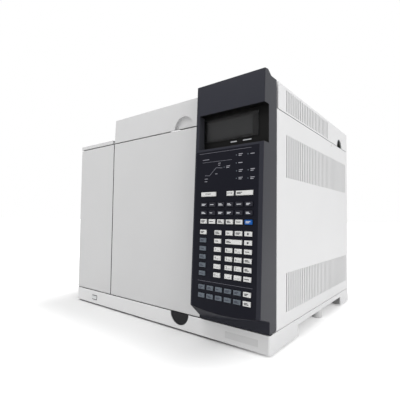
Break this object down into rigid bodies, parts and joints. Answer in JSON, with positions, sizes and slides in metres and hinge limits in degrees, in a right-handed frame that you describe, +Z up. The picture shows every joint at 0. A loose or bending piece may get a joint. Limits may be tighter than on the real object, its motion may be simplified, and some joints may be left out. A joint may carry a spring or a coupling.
{
  "type": "gas chromatograph",
  "caption": "Bench-top gas chromatograph with a hinged oven door, lifting injector lid, keypad console with display notch, slotted side vents and a hollow column oven with fan and heater.",
  "frame": {"origin": "on the bench, at the middle of the whole instrument's footprint", "axes": "+Z up, -Y is the front with the oven door and keypad, +X is the keypad's side"},
  "size_m": [0.58, 0.5436, 0.4842],
  "materials": {
    "casing_light_grey": "satin",
    "door_grey": "satin",
    "base_grey": "satin",
    "side_white": "satin",
    "chassis_steel": "satin",
    "console_charcoal": "matte",
    "key_white": "satin",
    "key_grey": "satin",
    "key_blue": "satin",
    "lens_smoke": "gloss",
    "screen_dark": "gloss",
    "black_plastic": "matte",
    "switch_grey": "gloss",
    "foot_rubber": "matte",
    "bright_steel": "brushed",
    "insulation_wool": "matte",
    "seal_grey": "matte",
    "heater_wire": "matte",
    "ceramic_white": "matte",
    "column_brown": "satin",
    "nut_brass": "satin",
    "motor_black": "satin",
    "module_aluminium": "satin",
    "board_green": "satin",
    "transformer_wrap": "satin"
  },
  "bodies": {
    "casing_and_oven": {"left_front_panel": "casing_light_grey", "left_top_cover": "casing_light_grey", "rear_top_cover": "casing_light_grey", "electronics_cover": "casing_light_grey", "base_chassis": "base_grey", "left_side_panel": "side_white", "right_side_panel": "side_white", "inner_frame": "chassis_steel", "rear_panel": "chassis_steel", "console_housing": "console_charcoal", "display_lens": "lens_smoke", "display_module": "screen_dark", "switch_body": "black_plastic", "power_inlet": "black_plastic", "signal_sockets": "black_plastic", "cooling_fan_frame": "black_plastic", "latch_guide": "black_plastic", "feet": "foot_rubber", "oven_liner": "bright_steel", "fan_shroud": "bright_steel", "column_hanger": "bright_steel", "hinge_pins": "bright_steel", "inlets": "bright_steel", "septum_nuts": "bright_steel", "detectors": "bright_steel", "gas_fittings": "bright_steel", "screws": "bright_steel", "air_ducts": "bright_steel", "oven_insulation": "insulation_wool", "heater_coils": "heater_wire", "heater_posts": "ceramic_white", "column": "column_brown", "column_nuts": "nut_brass", "fan_motor": "motor_black", "flap_motor": "motor_black", "flow_modules": "module_aluminium", "power_supply": "module_aluminium", "board_standoffs": "module_aluminium", "main_board": "board_green", "key_board": "board_green", "transformer": "transformer_wrap"},
    "oven_door": {"door_panel": "door_grey", "door_liner": "bright_steel", "door_insulation": "insulation_wool", "door_seal": "seal_grey"},
    "lid": {"top_lid": "casing_light_grey"},
    "fan_rotor": {"oven_fan": "bright_steel"},
    "cooling_rotor": {"cooling_fan_rotor": "black_plastic"},
    "flap_shaft": {"oven_flaps": "bright_steel"},
    "release_button": {"door_button": "black_plastic"},
    "latch": {"latch_bolt": "bright_steel"},
    "switch_cap": {"power_switch": "switch_grey"},
    "start": {"start_key": "key_white"},
    "stop": {"stop_key": "key_white"},
    "prep_run": {"prep_run_key": "key_white"},
    "status_keypad": {"status_keys": "console_charcoal"},
    "info": {"info_key": "key_blue"},
    "command_keypad": {"command_keys": "key_white"},
    "number_keypad": {"number_keys": "key_white"},
    "setting_keypad": {"setting_keys": "key_grey"}
  },
  "joints": [
    {"name": "door_swing", "type": "hinge", "parent": "casing_and_oven", "child": "oven_door", "pos_m": [-0.1322, -0.23123, 0.225], "axis": [0, 0, -1], "range_deg": [0, 110]},
    {"name": "lid_lift", "type": "hinge", "parent": "casing_and_oven", "child": "lid", "pos_m": [0, 0.05177, 0.465], "axis": [-1, 0, 0], "range_deg": [0, 80]},
    {"name": "oven_fan_spin", "type": "hinge", "parent": "casing_and_oven", "child": "fan_rotor", "pos_m": [0.0003, -0.01, 0.225], "axis": [0, 1, 0], "continuous": true},
    {"name": "cooling_fan_spin", "type": "hinge", "parent": "casing_and_oven", "child": "cooling_rotor", "pos_m": [0.2153, 0.236, 0.318], "axis": [0, 1, 0], "continuous": true},
    {"name": "flap_turn", "type": "hinge", "parent": "casing_and_oven", "child": "flap_shaft", "pos_m": [0, 0.09177, 0.3475], "axis": [1, 0, 0], "range_deg": [0, 80]},
    {"name": "door_button_press", "type": "slide", "parent": "casing_and_oven", "child": "release_button", "axis": [0, 1, 0], "range_m": [0, 0.005], "stiffness_N_per_m": 900, "springref_m": -0.0005},
    {"name": "latch_drop", "type": "slide", "parent": "casing_and_oven", "child": "latch", "axis": [0, 0, -1], "range_m": [0, 0.005]},
    {"name": "power_switch_press", "type": "slide", "parent": "casing_and_oven", "child": "switch_cap", "axis": [0, 1, 0], "range_m": [0, 0.0025], "stiffness_N_per_m": 1200, "springref_m": -0.0005},
    {"name": "start_press", "type": "slide", "parent": "casing_and_oven", "child": "start", "axis": [0, 0.9995, -0.0325], "range_m": [0, 0.0012], "stiffness_N_per_m": 600, "springref_m": -0.0005},
    {"name": "stop_press", "type": "slide", "parent": "casing_and_oven", "child": "stop", "axis": [0, 0.9995, -0.0325], "range_m": [0, 0.0012], "stiffness_N_per_m": 600, "springref_m": -0.0005},
    {"name": "prep_run_press", "type": "slide", "parent": "casing_and_oven", "child": "prep_run", "axis": [0, 0.9995, -0.0325], "range_m": [0, 0.0012], "stiffness_N_per_m": 600, "springref_m": -0.0005},
    {"name": "status_keypad_press", "type": "slide", "parent": "casing_and_oven", "child": "status_keypad", "axis": [0, 0.9995, -0.0325], "range_m": [0, 0.0012], "stiffness_N_per_m": 600, "springref_m": -0.0005},
    {"name": "info_press", "type": "slide", "parent": "casing_and_oven", "child": "info", "axis": [0, 0.9995, -0.0325], "range_m": [0, 0.0012], "stiffness_N_per_m": 600, "springref_m": -0.0005},
    {"name": "command_keypad_press", "type": "slide", "parent": "casing_and_oven", "child": "command_keypad", "axis": [0, 0.9995, -0.0325], "range_m": [0, 0.0012], "stiffness_N_per_m": 600, "springref_m": -0.0005},
    {"name": "number_keypad_press", "type": "slide", "parent": "casing_and_oven", "child": "number_keypad", "axis": [0, 0.9995, -0.0325], "range_m": [0, 0.0012], "stiffness_N_per_m": 600, "springref_m": -0.0005},
    {"name": "setting_keypad_press", "type": "slide", "parent": "casing_and_oven", "child": "setting_keypad", "axis": [0, 0.9995, -0.0325], "range_m": [0, 0.0012], "stiffness_N_per_m": 600, "springref_m": -0.0005}
  ],
  "couplings": [
    {"joint": "latch_drop", "follows": "door_button_press", "ratio": 1}
  ]
}
